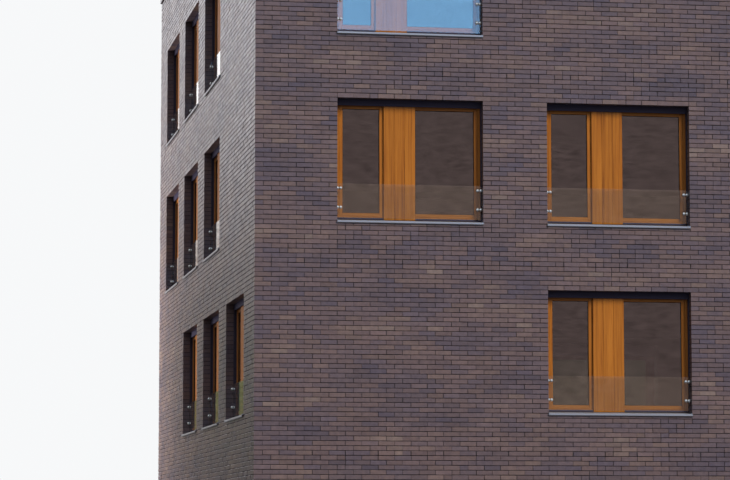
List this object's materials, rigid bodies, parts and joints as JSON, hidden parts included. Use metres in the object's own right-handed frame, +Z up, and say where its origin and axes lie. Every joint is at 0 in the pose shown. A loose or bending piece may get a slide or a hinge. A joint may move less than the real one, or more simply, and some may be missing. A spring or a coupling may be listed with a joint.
{
  "type": "villa",
  "caption": "Square flat-roofed brick villa of stacked flats, with staggered timber windows behind glass balustrades and roller shutter guides in deep brick reveals.",
  "frame": {"origin": "on the ground under the middle of the square plan", "axes": "+X to the right along the front, +Y to the rear, +Z up; the front faces -Y and the left facade -X"},
  "size_m": [15.142, 15.142, 12.855],
  "materials": {
    "brick": "purple-brown brick",
    "masonry": "plastered",
    "concrete": "smooth",
    "gravel": "loose gravel",
    "steel": "coated",
    "dark_metal": "satin",
    "aluminium": "anodised",
    "stainless": "brushed",
    "wood": "oiled",
    "glass": "clear"
  },
  "bodies": {
    "root": {"balustrade_clamps": "stainless", "brick_support_angles": "steel", "entrance_door": "wood", "entrance_frame": "wood", "entrance_handle": "stainless", "entrance_side_light": "glass", "entrance_threshold": "aluminium", "first_floor_slab": "concrete", "front_backing_wall": "masonry", "front_brick_leaf": "brick", "front_roller_shutters": "dark_metal", "front_window_frames": "wood", "glass_balustrades": "glass", "ground_slab": "concrete", "left_backing_wall": "masonry", "left_brick_leaf": "brick", "left_roller_shutters": "dark_metal", "left_window_frames": "wood", "parapet_coping": "aluminium", "rear_backing_wall": "masonry", "rear_brick_leaf": "brick", "rear_roller_shutters": "dark_metal", "rear_window_frames": "wood", "right_backing_wall": "masonry", "right_brick_leaf": "brick", "right_roller_shutters": "dark_metal", "right_window_frames": "wood", "roof_covering": "gravel", "roof_slab": "concrete", "second_floor_slab": "concrete", "third_floor_slab": "concrete", "window_casements": "wood", "window_panels": "wood", "window_panes": "glass", "window_sills": "aluminium"}
  },
  "joints": []
}
